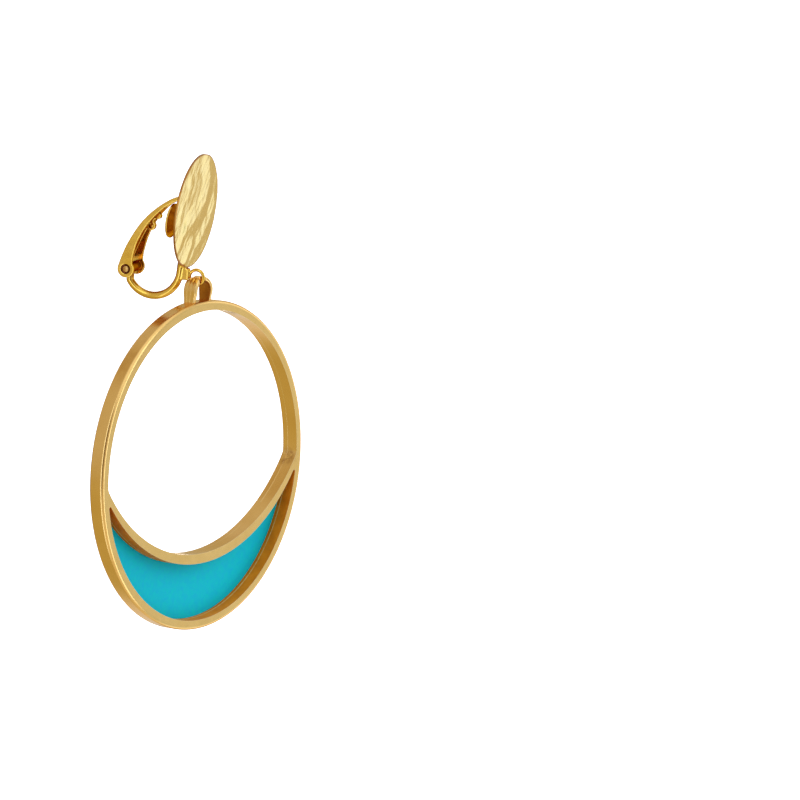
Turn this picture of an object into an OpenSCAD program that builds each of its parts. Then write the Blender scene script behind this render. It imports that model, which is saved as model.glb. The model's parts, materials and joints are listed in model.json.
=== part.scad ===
// Clip-on earring: a hammered disc on a spring clip, with a turquoise crescent hoop hanging below.
// Millimetres, +Z up, the disc faces -Y. The origin is the middle of the button pad's rear face,
// where the ear lobe is clamped.

/* [Front disc] */
// Diameter of the hammered disc
disc_d = 18.4; // [16:0.1:18.8]
// Thickness of the disc at its edge
disc_t = 0.3; // [0.25:0.05:0.6]
// How far the disc bulges forward at its middle
disc_dome = 0.35; // [0.2:0.05:0.8]
// Height of the disc's middle above the foot of the wire's front leg
disc_up = 10.25; // [9.9:0.05:11]
// Gap between the wire's front leg and the back of the disc
disc_stand = 0.45; // [0.2:0.05:0.6]

/* [Clip wire] */
// Diameter of the round wire
wire_d = 1.25; // [1:0.05:1.3]
// Radius of the U-bend, along the middle of the wire
bend_r = 4.6; // [4.4:0.05:4.8]
// Forward lean of the wire's front leg, the pad and the disc, in degrees
lean = 6.6; // [5:0.1:9]
// Depth of the U-bend's centre behind the pad's face
bend_y = 2.85; // [2.7:0.05:3]
// Depth of the U-bend's centre below the pad's middle
bend_drop = 7.7; // [7.5:0.05:7.9]
// Angle at which the bend ends and the wire turns up to the hinge
bend_end = 330; // [325:1:335]
// Length of the wire's front leg
leg_len = 9.2; // [8.8:0.1:9.6]

/* [Button pad] */
// Diameter of the pad
pad_d = 5.6; // [5:0.1:6.5]
// Thickness of the pad's rim
pad_rim = 0.45; // [0.3:0.05:0.7]
// Diameter of the pad's stem on the wire
pad_stem_d = 1.9; // [1.4:0.1:2.4]

/* [Drop loop] */
// Diameter of the loop's hole
loop_hole = 1.8; // [1.76:0.02:1.9]
// Thickness of the loop's wire
loop_wire = 0.56; // [0.5:0.02:0.6]
// Distance of the loop's middle in front of the pad's face
loop_front = 4.5; // [4.4:0.05:4.8]
// Distance of the loop's middle below the pad's middle
loop_drop = 8.9; // [8.7:0.05:9.1]
// Thickness of the neck that carries the loop
neck_t = 1; // [0.6:0.1:1.2]
// Height of the neck
neck_h = 1.9; // [1.2:0.1:2]
// Height of the neck's middle above the loop's middle
neck_up = 0.4; // [0:0.05:0.5]

/* [Clip lever] */
// Width of the lever over its two ears
lever_w = 5.2; // [5:0.1:5.6]
// Thickness of the lever's sheet
sheet_t = 0.4; // [0.35:0.05:0.45]
// Radius of the ears around the hinge pin
ear_r = 1.4; // [1.35:0.01:1.5]
// Depth of the hinge pin behind the pad's face
hinge_y = 6.7; // [6.6:0.05:6.8]
// Distance of the hinge pin below the pad's middle
hinge_drop = 8; // [7.9:0.05:8.1]
// Diameter of the small pierced tab inside the lever
tab_d = 1.6; // [1.4:0.1:1.8]
// Thickness of that tab
tab_t = 0.8; // [0.4:0.1:1.2]

/* [Hinge pin] */
// Diameter of the hinge pin
pin_d = 1; // [0.9:0.05:1.05]
// Gap between the pin and the ears' holes, on the radius
pin_gap = 0.05; // [0.03:0.01:0.08]
// Outer diameter of the barrel on the wire's rear end
barrel_d = 1.7; // [1.6:0.05:1.8]

/* [Hoop] */
// Outer diameter of the hoop
hoop_d = 53.4; // [50:0.2:56]
// Depth of the hoop, front to back
hoop_depth = 2.8; // [2.6:0.1:3.2]
// Width of the hoop's rim
rim_w = 1.55; // [1.3:0.05:1.7]
// Rounding of the rim's outer edges
rim_round = 0.6; // [0.3:0.05:0.7]
// Radius of the inner arc above the crescent
arc_r = 30.4; // [29.5:0.1:31.5]
// Depth of the inner arc's upper edge below the hoop's centre
arc_drop = 14.3; // [13.5:0.1:15.5]
// Width of the inner arc
arc_w = 1.6; // [1.2:0.1:1.8]
// Radius of the soft corners where the arc meets the rim
corner_r = 1.8; // [0.8:0.1:2]
// How far the crescent's two blunt tips are cut back
tip_back = 0.9; // [0.6:0.1:1.2]
// Thickness of the crescent's floor
floor_t = 0.2; // [0.2:0.05:0.5]
// Turn of the hanging hoop about the vertical, in degrees
hoop_turn = 16.5; // [0:0.5:20]

/* [Bail] */
// Width of the bail's arch
bail_w = 4.75; // [4.6:0.05:5]
// Thickness of the bail's strap
strap_t = 0.7; // [0.6:0.01:0.7]
// Width of the strap at its feet
strap_foot_w = 2.1; // [1.8:0.1:2.1]
// Width of the strap where it passes the loop
strap_top_w = 1; // [0.9:0.02:1.02]
// Sideways distance from the bail to the hoop's middle
bail_offset = 0.4; // [0:0.1:0.6]
// Sideways distance from the loop to the bail's middle
bail_slide = 0.4; // [0:0.1:0.4]
// How far the bail stands behind the middle of the hoop's depth
bail_back = 0.4; // [0:0.1:0.4]
// Depth of the hoop's centre below the loop's middle
hang_len = 30.45; // [30.35:0.05:30.8]

/* [Crescent inlay] */
// Thickness of the turquoise layer
inlay_t = 0.15; // [0.12:0.01:0.4]

/* [Hidden] */
$fn = 72;
seat_gap = 0.02;   // between pieces that touch
fit_gap = 0.01;    // between the pin and the barrel
side_gap = 0.15;   // between the barrel and the ears
over = 1;          // how far a cutting shape runs past what it cuts

wire_r = wire_d / 2;
leg_foot = [bend_y - bend_r * cos(lean), -bend_drop - bend_r * sin(lean)];
rear_bend = [bend_y + bend_r * cos(bend_end), -bend_drop + bend_r * sin(bend_end)];
hinge = [hinge_y, -hinge_drop];
loop_r = (loop_hole + loop_wire) / 2;

// The pad's face, seen from the foot of the leaning leg
pad_out = -leg_foot[0] * cos(lean) - leg_foot[1] * sin(lean);
pad_up = leg_foot[0] * sin(lean) - leg_foot[1] * cos(lean);

// Draws in the side plane: x becomes Y, y becomes Z and z becomes X
module side_plane() { rotate([90, 0, 90]) children(); }

// The leaning frame of the front leg, with its origin at the leg's foot
module leaning() { translate([0, leg_foot[0], leg_foot[1]]) rotate([lean, 0, 0]) children(); }

// A straight round bar in the side plane
module bar(from, to, r) {
    run = to - from;
    translate([from[0], from[1], 0])
        rotate([0, 0, atan2(run[1], run[0])]) rotate([0, 90, 0]) cylinder(r = r, h = norm(run));
}

module bent_wire() {
    side_plane() {
        translate([bend_y, -bend_drop]) rotate([0, 0, 180 + lean])
            rotate_extrude(angle = bend_end - 180 - lean) translate([bend_r, 0]) circle(r = wire_r);
        translate([rear_bend[0], rear_bend[1], 0]) sphere(r = wire_r);
        bar(rear_bend, hinge, wire_r);
    }
    leaning() {
        cylinder(r = wire_r, h = leg_len);
        translate([0, 0, leg_len]) sphere(r = wire_r);
    }
}

// A round button on a flared stem, its flat face towards the lever
module button_pad() {
    stem_r = pad_stem_d / 2;
    rim_r = pad_d / 2;
    edge = 0.1;
    leaning() translate([0, 0, pad_up]) rotate([-90, 0, 0]) rotate_extrude()
        polygon([[0, 0], [stem_r, 0], [stem_r, pad_out * 0.3], [rim_r - 2 * edge, pad_out - pad_rim],
            [rim_r, pad_out - pad_rim + edge], [rim_r, pad_out - edge], [rim_r - edge, pad_out],
            [0, pad_out]]);
}

module drop_loop() {
    translate([0, -loop_front, -loop_drop]) side_plane() difference() {
        union() {
            rotate_extrude() translate([loop_r, 0]) circle(r = loop_wire / 2);
            translate([loop_r, neck_up - neck_h / 2, -neck_t / 2])
                cube([loop_front + leg_foot[0] - loop_r, neck_h, neck_t]);
        }
        cylinder(d = loop_hole, h = neck_t + 2 * over, center = true);
    }
}

// The solder lump at the disc's lower edge, and the stem behind the disc's middle
module disc_seats() {
    reach = wire_r + disc_stand;
    lump_up = 1.6;
    lump_r = 0.8;
    leaning() {
        translate([0, 0, lump_up]) rotate([90, 0, 0]) cylinder(r = lump_r, h = reach);
        translate([0, 0, pad_up]) rotate([90, 0, 0]) cylinder(d = pad_stem_d, h = reach);
    }
}

module clip_frame() {
    barrel_len = lever_w - 2 * sheet_t - 2 * side_gap;
    color("goldenrod") difference() {
        union() {
            bent_wire();
            button_pad();
            drop_loop();
            disc_seats();
            side_plane() translate([hinge[0], hinge[1], 0])
                cylinder(d = barrel_d, h = barrel_len, center = true);
        }
        side_plane() translate([hinge[0], hinge[1], 0])
            cylinder(r = pin_d / 2 + fit_gap, h = lever_w, center = true);
    }
}

// A thin disc with a flat back and a slightly domed front
module front_disc() {
    disc_r = disc_d / 2;
    steps = 8;
    dome = [for (i = [0 : steps]) let (share = 1 - i / steps)
        [disc_r * share, disc_t + disc_dome * (1 - share * share)]];
    color("khaki") leaning() translate([0, -wire_r - disc_stand - seat_gap, disc_up]) rotate([90, 0, 0])
        rotate_extrude($fn = 144) polygon(concat([[0, 0], [disc_r, 0]], dome));
}

module hinge_pin() {
    sink = 0.15;
    color("peru") side_plane() translate([hinge[0], hinge[1], 0])
        cylinder(d = pin_d, h = lever_w - 2 * sink, center = true);
}

// The lever's back runs up from the ears in three arcs, each turning further forward.
// Columns: radius of the arc, heading at its end, in degrees forward of straight up.
back_start = 18.5;
back_arcs = [[29, 31], [14.6, 61], [6.6, 85]];
// Depth of the side walls, at a heading
wall_depth = [[18.5, 2.5], [23, 1.8], [28, 1.35], [33, 1.15], [45, 0.95], [58, 0.65], [85, 0.65]];
// Half the lever's width at a height, as a share of the whole
half_width = [[-12, 1], [-4, 1], [0, 0.74], [2, 0.52], [3.2, 0.42], [4.2, 0.36]];
arc_steps = 10;

function heading(a) = [cos(a), sin(a)];
function start_of(i) = i == 0 ? back_start : back_arcs[i - 1][1];
function centre_of(i) = i == 0
    ? hinge + (ear_r - back_arcs[0][0]) * heading(back_start)
    : centre_of(i - 1) + (back_arcs[i - 1][0] - back_arcs[i][0]) * heading(start_of(i));
// Points along the back, set in by a depth that may follow the heading
function back_line(inset, follow = false) = [
    for (i = [0 : len(back_arcs) - 1], s = [0 : arc_steps])
        if (i == 0 || s > 0)
            let (a = start_of(i) + (back_arcs[i][1] - start_of(i)) * s / arc_steps)
            centre_of(i) + (back_arcs[i][0] - (follow ? lookup(a, wall_depth) : inset)) * heading(a)];
function backwards(list) = [for (i = [len(list) - 1 : -1 : 0]) list[i]];

// The lever seen from behind, narrowed by an inset
module lever_plan(inset) {
    edge = [for (row = half_width) [row[1] * lever_w / 2 - inset, row[0]]];
    rotate([90, 0, 0]) linear_extrude(height = 40, center = true)
        polygon(concat(edge, [for (p = backwards(edge)) [-p[0], p[1]]]));
}

// A point on the lever's second arc, set in from the back
function arc_point(a, inset) = centre_of(1) + (back_arcs[1][0] - inset) * heading(a);

// A small tab with two lobes on the inside of the lever's back, the lower lobe pierced
module pierced_tab() {
    tab_in = 1.2;
    upper_in = 1;
    upper_d = 1.1;
    side_plane() linear_extrude(height = tab_t, center = true) difference() {
        union() {
            translate(arc_point(38.4, tab_in)) circle(d = tab_d);
            translate(arc_point(47, upper_in)) circle(d = upper_d);
            polygon(concat([for (a = [36.4 : 2 : 48.4]) arc_point(a, sheet_t / 2)],
                [arc_point(48.4, tab_in - 0.2), arc_point(36.4, tab_in - 0.2)]));
        }
        translate(arc_point(38.4, tab_in)) circle(d = tab_d / 2);
    }
}

module clip_lever() {
    bore_r = pin_d / 2 + pin_gap;
    sink_r = bore_r + 0.25;
    sink_depth = 0.2;
    swing_r = ear_r + 0.08;
    reach = 6;
    color("gold") difference() {
        union() {
            difference() {
                intersection() {
                    side_plane() linear_extrude(height = lever_w, center = true) {
                        polygon(concat(back_line(0), backwards(back_line(0, follow = true))));
                        translate(hinge) circle(r = ear_r);
                    }
                    lever_plan(0);
                }
                intersection() {
                    side_plane() linear_extrude(height = lever_w + over, center = true)
                        polygon(concat(back_line(sheet_t), backwards(back_line(reach))));
                    lever_plan(sheet_t);
                }
                side_plane() translate([hinge[0], hinge[1], 0])
                    cylinder(r = swing_r, h = lever_w - 2 * sheet_t, center = true);
            }
            pierced_tab();
        }
        side_plane() translate([hinge[0], hinge[1], 0]) {
            cylinder(r = bore_r, h = lever_w + over, center = true);
            for (side = [-1, 1]) translate([0, 0, side * (lever_w / 2 - sink_depth / 2 + over / 2)])
                cylinder(r = sink_r, h = sink_depth + over, center = true);
        }
    }
}

// The hanging frame of the drop: its origin is the loop's middle, its own XZ plane is the hoop's
module hanging() { translate([0, -loop_front, -loop_drop]) rotate([0, 0, -hoop_turn]) children(); }
// Draws in the hoop's plane about the hoop's centre; a height runs from the front to the back
module hoop_plane(from_front) {
    hanging() translate([bail_slide + bail_offset, from_front - hoop_depth / 2 - bail_back, -hang_len])
        rotate([90, 0, 0]) mirror([0, 0, 1]) children();
}

hoop_r = hoop_d / 2;
inner_r = hoop_r - rim_w;
arc_z = arc_r - arc_drop;
// Where two circles centred on the middle line cross, on the right
function crossing(r1, z1, r2, z2) =
    let (z = (r1 * r1 - r2 * r2 - z1 * z1 + z2 * z2) / (2 * (z2 - z1)))
    [sqrt(r1 * r1 - (z - z1) * (z - z1)), z];

// The open part of the hoop: inside the rim and above the inner arc, with soft corners
module hole_outline() {
    soft = crossing(inner_r - corner_r, 0, arc_r - corner_r, arc_z);
    sharp = crossing(inner_r, 0, arc_r, arc_z);
    arc_c = [0, arc_z];
    rim_touch = soft * inner_r / (inner_r - corner_r);
    arc_touch = arc_c + (soft - arc_c) * arc_r / (arc_r - corner_r);
    difference() {
        intersection() {
            circle(r = inner_r, $fn = 240);
            translate(arc_c) circle(r = arc_r, $fn = 240);
        }
        for (side = [0, 1]) mirror([side, 0])
            polygon([soft, rim_touch, soft + 3 * (sharp - soft), arc_touch]);
    }
    for (side = [0, 1]) mirror([side, 0]) translate(soft) circle(r = corner_r);
}

// The crescent between the inner arc and the rim, with blunt tips, drawn in by a gap
module crescent_outline(gap) {
    low_z = arc_z - arc_w;
    tip = crossing(inner_r, 0, arc_r, low_z);
    inward = crossing(inner_r - 1, 0, arc_r + 1, low_z) - tip;
    difference() {
        circle(r = inner_r - gap, $fn = 240);
        translate([0, low_z]) circle(r = arc_r + gap, $fn = 240);
        for (side = [0, 1]) mirror([side, 0])
            translate(tip) rotate(atan2(inward[1], inward[0]))
                translate([-over, -over]) square([over + tip_back + gap, 2 * over]);
    }
}

module hoop_blank() {
    flat_r = hoop_r - rim_round;
    hoop_plane(0) rotate_extrude($fn = 240) {
        square([flat_r, hoop_depth]);
        translate([0, rim_round]) square([hoop_r, hoop_depth - 2 * rim_round]);
        for (edge = [rim_round, hoop_depth - rim_round])
            translate([flat_r, edge]) intersection() {
                circle(r = rim_round, $fn = 48);
                translate([-flat_r, -over]) square([hoop_r + over, 2 * over]);
            }
    }
}

// A strap bent to an arch, narrower where it passes through the loop
module bail() {
    top = 0.2;                        // top of the strap above the loop's middle
    foot = hoop_r - hang_len - 0.6;   // sunk in the rim
    outer_r = bail_w / 2;
    inner = outer_r - strap_t;
    arch_z = top - outer_r;
    shoulder = foot + 2.3;            // where the strap starts to narrow
    hanging() translate([bail_slide, 0, 0]) intersection() {
        rotate([90, 0, 0]) linear_extrude(height = strap_foot_w, center = true) difference() {
            union() {
                translate([0, arch_z]) circle(r = outer_r);
                translate([-outer_r, foot]) square([bail_w, arch_z - foot]);
            }
            translate([0, arch_z]) circle(r = inner);
            translate([-inner, foot - over]) square([2 * inner, arch_z - foot + over]);
        }
        side_plane() linear_extrude(height = bail_w + over, center = true)
            polygon([for (p = [[-1, foot], [-1, shoulder]]) [p[0] * strap_foot_w / 2, p[1]],
                for (p = [[-1, -0.7], [-1, top + over], [1, top + over], [1, -0.7]])
                    [p[0] * strap_top_w / 2, p[1]],
                for (p = [[1, shoulder], [1, foot]]) [p[0] * strap_foot_w / 2, p[1]]]);
    }
}

module hoop_drop() {
    color("tan") {
        difference() {
            union() {
                hoop_blank();
                bail();
            }
            hoop_plane(-over) linear_extrude(height = hoop_depth + 2 * over) hole_outline();
            hoop_plane(-over) linear_extrude(height = hoop_depth - floor_t + over) crescent_outline(0);
        }
    }
}

module crescent_inlay() {
    side_play = 0.03;
    color("mediumturquoise") hoop_plane(hoop_depth - floor_t - seat_gap - inlay_t)
        linear_extrude(height = inlay_t) crescent_outline(side_play);
}

clip_frame();
front_disc();
hinge_pin();
clip_lever();
hoop_drop();
crescent_inlay();
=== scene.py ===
# %% [markdown]
# # A clip-on earring in gold tone and turquoise
#
# A hammered disc sits on a sprung-wire clip, and a cast hoop with a turquoise crescent hangs below it.
# The construction is already there, so this lesson is about looks: the camera, a studio for metal,
# the finishes, and the pieces whose surface needs more shape than the construction gives.

import json
import math

import bpy
from mathutils import Matrix, Vector


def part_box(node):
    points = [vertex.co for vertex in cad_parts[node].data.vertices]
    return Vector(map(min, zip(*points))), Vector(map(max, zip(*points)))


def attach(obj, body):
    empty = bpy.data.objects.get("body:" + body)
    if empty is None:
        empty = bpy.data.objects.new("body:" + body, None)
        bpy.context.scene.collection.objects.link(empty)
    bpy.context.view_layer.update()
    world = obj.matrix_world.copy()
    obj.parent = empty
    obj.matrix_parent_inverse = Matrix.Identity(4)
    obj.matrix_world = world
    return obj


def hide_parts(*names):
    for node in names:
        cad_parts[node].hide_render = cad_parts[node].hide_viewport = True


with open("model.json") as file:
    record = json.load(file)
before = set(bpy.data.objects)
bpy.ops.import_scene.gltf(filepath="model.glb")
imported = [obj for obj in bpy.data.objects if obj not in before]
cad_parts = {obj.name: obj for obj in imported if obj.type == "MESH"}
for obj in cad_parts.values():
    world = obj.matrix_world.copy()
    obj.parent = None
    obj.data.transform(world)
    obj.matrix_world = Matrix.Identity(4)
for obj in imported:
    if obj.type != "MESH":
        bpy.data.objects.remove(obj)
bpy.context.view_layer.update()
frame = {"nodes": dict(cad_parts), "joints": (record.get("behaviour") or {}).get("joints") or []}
MM = 0.001

for name in frame["nodes"]:
    low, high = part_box(name)
    print(name, "from", [round(v / MM, 2) for v in low], "to", [round(v / MM, 2) for v in high])

# %% [markdown]
# ## Where the parts meet
#
# Flat things are easiest to model flat. So some pieces are made in working frames and moved to their
# places at the end: the disc in the frame of the clip's leaning leg, the hoop and its bail in frames
# that are turned a little about the vertical, because a hanging hoop never faces quite forward. The
# enamel goes with the hoop. The clip's wire, lever and pin are made where they sit.

# %% The working frames
LEAN = math.radians(6.6)
BEND_RADIUS = 4.6 * MM
BEND_MIDDLE = Vector((0, 2.85 * MM, -7.7 * MM))
leg_foot = BEND_MIDDLE - BEND_RADIUS * Vector((0, math.cos(LEAN), math.sin(LEAN)))
lean_place = Matrix.Translation(leg_foot) @ Matrix.Rotation(LEAN, 4, "X")

HOOP_TURN = math.radians(-16.5)
HOOP_SLIDE = 0.8 * MM
BAIL_BACK = 0.4 * MM
HOOP_DROP = 30.45 * MM
joints = {joint["name"]: joint for joint in frame["joints"]}
hinge = Vector(joints["lever_open"]["pos_m"])
loop_middle = Vector(joints["drop_swing"]["pos_m"])
hang_place = Matrix.Translation(loop_middle) @ Matrix.Rotation(HOOP_TURN, 4, "Z")
hoop_place = hang_place @ Matrix.Translation((HOOP_SLIDE, -BAIL_BACK, -HOOP_DROP))
print("the leg's foot is at", [round(v / MM, 2) for v in leg_foot])
print("the hoop's middle is at", [round(v / MM, 2) for v in hoop_place.translation])

# %% [markdown]
# ## The camera
#
# The earring was photographed with a long lens, a little from above and far round to the side, so that
# the disc and the hoop show as narrow ovals. A long lens keeps parallel edges parallel. The camera
# is placed by the direction it looks in and by where the hoop's middle falls in the picture.

# %% Place the camera
LENS = 270
SENSOR = 36
VIEW_TURN = math.radians(-71.613)
VIEW_DOWN = math.radians(8.843)
VIEW_ROLL = math.radians(1.45)
DISTANCE = 964.6 * MM
AIM = hoop_place @ Vector((0, -1.3 * MM, -0.15 * MM))
AIM_LEFT = 31.495 * MM
AIM_BELOW = 10.684 * MM

forward = Vector((
    -math.sin(VIEW_TURN) * math.cos(VIEW_DOWN),
    math.cos(VIEW_TURN) * math.cos(VIEW_DOWN),
    -math.sin(VIEW_DOWN),
))
level_right = forward.cross(Vector((0, 0, 1))).normalized()
level_up = level_right.cross(forward)
right = level_right * math.cos(VIEW_ROLL) + level_up * math.sin(VIEW_ROLL)
up = level_up * math.cos(VIEW_ROLL) - level_right * math.sin(VIEW_ROLL)

camera_data = bpy.data.cameras.new("camera")
camera_data.lens = LENS
camera_data.sensor_width = SENSOR
camera_data.clip_start = 10 * MM
camera_data.clip_end = 50
camera = bpy.data.objects.new("camera", camera_data)
bpy.context.scene.collection.objects.link(camera)
spot = AIM - forward * DISTANCE + right * AIM_LEFT + up * AIM_BELOW
camera.matrix_world = Matrix.Translation(spot) @ Matrix((right, up, -forward)).transposed().to_4x4()
bpy.context.scene.camera = camera
print("camera at", [round(v, 3) for v in spot])

# %% [markdown]
# ## A studio for metal
#
# Polished metal has hardly any colour of its own: it shows its surroundings, tinted gold. So the
# room matters more than the lamps, and it is painted by direction, like the screens and cards that
# a product photographer puts round a piece of jewellery. Each flat face of the hoop mirrors one
# small part of the room, so each part is given the brightness that its face should have.

# %% Helpers that paint a room by direction
world = bpy.data.worlds.new("studio")
bpy.context.scene.world = world
world.use_nodes = True
nodes, links = world.node_tree.nodes, world.node_tree.links
nodes.clear()
direction = nodes.new("ShaderNodeTexCoord").outputs["Generated"]


def fed(node, *given):
    """The node with each given socket joined, or each given value set, in order."""
    for socket, value in zip(node.inputs, given):
        if isinstance(value, bpy.types.NodeSocket):
            links.new(value, socket)
        else:
            socket.default_value = value
    return node


def vector_sum(operation, *given):
    """A vector sum of the given sockets or vectors."""
    node = nodes.new("ShaderNodeVectorMath")
    node.operation = operation
    return fed(node, *given)


def between(value, start, end):
    """A soft step from 0 at the start to 1 at the end."""
    ramp = nodes.new("ShaderNodeMapRange")
    ramp.interpolation_type = "SMOOTHSTEP"
    ramp.inputs["From Min"].default_value = start
    ramp.inputs["From Max"].default_value = end
    links.new(value, ramp.inputs["Value"])
    return ramp.outputs["Result"]


def both(first, second):
    """Two masks multiplied."""
    node = nodes.new("ShaderNodeMath")
    node.operation = "MULTIPLY"
    return fed(node, first, second).outputs[0]


def toward(target, start, end):
    """A round mask that grows from 0 to 1 as a direction turns toward the target."""
    dot = vector_sum("DOT_PRODUCT", direction, Vector(target).normalized())
    return between(dot.outputs["Value"], start, end)


def upright(azimuth, half_width, soft, low, high):
    """A tall mask about an azimuth in degrees, between two heights of the direction."""
    level = vector_sum("NORMALIZE", vector_sum("MULTIPLY", direction, (1, 1, 0)).outputs[0])
    turn = math.radians(azimuth)
    dot = vector_sum("DOT_PRODUCT", level.outputs[0], (math.cos(turn), math.sin(turn), 0))
    side = between(dot.outputs["Value"],
                   math.cos(math.radians(half_width + soft)), math.cos(math.radians(half_width)))
    height = vector_sum("DOT_PRODUCT", direction, (0, 0, 1)).outputs["Value"]
    tall = both(between(height, low - 0.12, low), between(height, high + 0.12, high))
    return both(side, tall)


def painted(below, mask, colour):
    """The colour below, painted over where the mask is 1."""
    mix = nodes.new("ShaderNodeMix")
    mix.data_type = "RGBA"
    links.new(mask, mix.inputs["Factor"])
    colours = [socket for socket in mix.inputs if socket.type == "RGBA"]
    if isinstance(below, tuple):
        colours[0].default_value = (*below, 1)
    else:
        links.new(below, colours[0])
    colours[1].default_value = (*colour, 1)
    return [socket for socket in mix.outputs if socket.type == "RGBA"][0]


# %% Paint the room
# Each part of the room is a mask and the colour it has there. Later parts lie over earlier ones.
# Left, right and behind are as seen from the camera.
WALLS = (0.62, 0.61, 0.62)
ROOM_PARTS = {
    "pale table": (toward((0, 0, -1), 0.05, 0.5), (0.8, 0.77, 0.72)),
    "warm table edge on the left": (toward((-0.3, 0.68, -0.68), 0.6, 0.9), (0.55, 0.5, 0.28)),
    "cool overhead screen": (toward((-0.2, -0.5, 1), 0.6, 0.95), (1.05, 1.15, 1.45)),
    "warm gap high on the left": (toward((0.05, 0.75, 0.75), 0.95, 0.99), (0.52, 0.45, 0.34)),
    "warm card behind": (toward((1, 0.33, 0.16), 0.8, 0.95), (0.52, 0.47, 0.3)),
    "wide cool screen on the right": (upright(-55, 13, 12, -0.8, 0.5), (0.66, 0.76, 0.92)),
    "dark band low behind": (upright(42, 26, 12, -0.27, -0.06), (0.12, 0.075, 0.035)),
    "dark round the camera": (toward(-forward, 0.84, 0.97), (0.2, 0.15, 0.1)),
    "warm screen behind, for the disc": (upright(-4, 16, 5, -0.8, 0.3), (0.66, 0.55, 0.31)),
    "narrow bright screen on the right": (upright(-36, 5, 12, -0.8, 0.5), (1.2, 1.33, 1.65)),
    "small lamp far behind": (toward(forward, 0.985, 0.997), (3.0, 2.9, 2.7)),
    "left strip light": (upright(173, 6, 4, -0.75, 0.6), (1.8, 2.2, 3.2)),
    "right strip light": (upright(272, 7, 4, -0.75, 0.6), (1.8, 2.2, 3.2)),
}
room = WALLS
for mask, colour in ROOM_PARTS.values():
    room = painted(room, mask, colour)

seen = nodes.new("ShaderNodeLightPath")
page = painted(room, seen.outputs["Is Camera Ray"], (1, 1, 1))
background = nodes.new("ShaderNodeBackground")
links.new(page, background.inputs["Color"])
output = nodes.new("ShaderNodeOutputWorld")
links.new(background.outputs["Background"], output.inputs["Surface"])
bpy.context.scene.view_settings.view_transform = "Standard"
print("the room has", len(ROOM_PARTS), "parts:", ", ".join(ROOM_PARTS))

# %% [markdown]
# Two soft boxes light what doesn't mirror: the enamel and the recess's brown wall. They are hidden
# from reflections, where they would draw broad patches on the metal that the painted room already
# lights. The table doesn't show in reflections either, because the room is painted with its own.

# %% Add two soft boxes
LAMP_AWAY = 900 * MM


def soft_box(name, toward_light, size, watts):
    """A square lamp in that direction from the earring, facing it."""
    data = bpy.data.lights.new(name, "AREA")
    data.size = size
    data.energy = watts
    lamp = bpy.data.objects.new(name, data)
    bpy.context.scene.collection.objects.link(lamp)
    away = Vector(toward_light).normalized()
    lamp.visible_glossy = False
    facing_it = away.to_track_quat("Z", "Y").to_matrix().to_4x4()
    lamp.matrix_world = Matrix.Translation(away * LAMP_AWAY) @ facing_it


soft_box("key_light", (-0.6, -0.9, 1.1), 0.9, 1.5)
soft_box("fill_light", (0.9, -0.7, 0.5), 0.7, 1.5)

# %% Lay a pale table well below the hanging hoop
TABLE_DEPTH = 120 * MM
bpy.ops.object.select_all(action="DESELECT")
bpy.ops.mesh.primitive_plane_add(size=8, location=(1, 1, -TABLE_DEPTH))
table = bpy.context.active_object
table.name = "table"
table.visible_glossy = False
table.visible_diffuse = False

white = bpy.data.materials.new("table_white")
white.use_nodes = True
shader = white.node_tree.nodes["Principled BSDF"]
shader.inputs["Base Color"].default_value = (0.9, 0.9, 0.9, 1)
shader.inputs["Roughness"].default_value = 0.9
shader.inputs["Emission Color"].default_value = (1, 1, 1, 1)
shader.inputs["Emission Strength"].default_value = 0.9
table.data.materials.append(white)

# %% [markdown]
# ## Finishes
#
# All the metal is a gold-coloured plating, but each piece has been finished in its own way: the clip
# is polished, the hoop is satin from tumbling, and the disc is hammered and brushed. Three effects
# come back, so each is a node group: soft clouds, which every finish has, fine scratches that all
# run one way, which the three golds have, and paler edges on the clip and the hoop, partly wear and
# partly a painted highlight.

# %% Build the shared effects


def effect(name, inputs, output):
    """An empty node group with named inputs and one output, and its two end nodes."""
    group = bpy.data.node_groups.new(name, "ShaderNodeTree")
    for label, kind, value in inputs:
        socket = group.interface.new_socket(label, in_out="INPUT", socket_type=kind)
        if value is not None:
            socket.default_value = value
    group.interface.new_socket(output, in_out="OUTPUT", socket_type="NodeSocketFloat")
    return group, group.nodes.new("NodeGroupInput"), group.nodes.new("NodeGroupOutput")


clouds, given, result = effect("clouds", [
    ("Vector", "NodeSocketVector", None),
    ("Scale", "NodeSocketFloat", 300.0),
    ("Low", "NodeSocketFloat", 0.35),
    ("High", "NodeSocketFloat", 0.65),
], "Mask")
noise = clouds.nodes.new("ShaderNodeTexNoise")
noise.inputs["Detail"].default_value = 4
noise.inputs["Roughness"].default_value = 0.6
spread = clouds.nodes.new("ShaderNodeMapRange")
clouds.links.new(given.outputs["Vector"], noise.inputs["Vector"])
clouds.links.new(given.outputs["Scale"], noise.inputs["Scale"])
clouds.links.new(noise.outputs["Fac"], spread.inputs["Value"])
clouds.links.new(given.outputs["Low"], spread.inputs["From Min"])
clouds.links.new(given.outputs["High"], spread.inputs["From Max"])
clouds.links.new(spread.outputs["Result"], result.inputs["Mask"])

scratches, given, result = effect("scratches", [
    ("Vector", "NodeSocketVector", None),
    ("Squeeze", "NodeSocketVector", (1.0, 1.0, 0.1)),
    ("Scale", "NodeSocketFloat", 6000.0),
], "Height")
squeezed = scratches.nodes.new("ShaderNodeVectorMath")
squeezed.operation = "MULTIPLY"
noise = scratches.nodes.new("ShaderNodeTexNoise")
noise.inputs["Detail"].default_value = 3
noise.inputs["Roughness"].default_value = 0.7
scratches.links.new(given.outputs["Vector"], squeezed.inputs[0])
scratches.links.new(given.outputs["Squeeze"], squeezed.inputs[1])
scratches.links.new(squeezed.outputs["Vector"], noise.inputs["Vector"])
scratches.links.new(given.outputs["Scale"], noise.inputs["Scale"])
scratches.links.new(noise.outputs["Fac"], result.inputs["Height"])

# Edges made paler, partly as wear and partly as a painted highlight.
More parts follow.
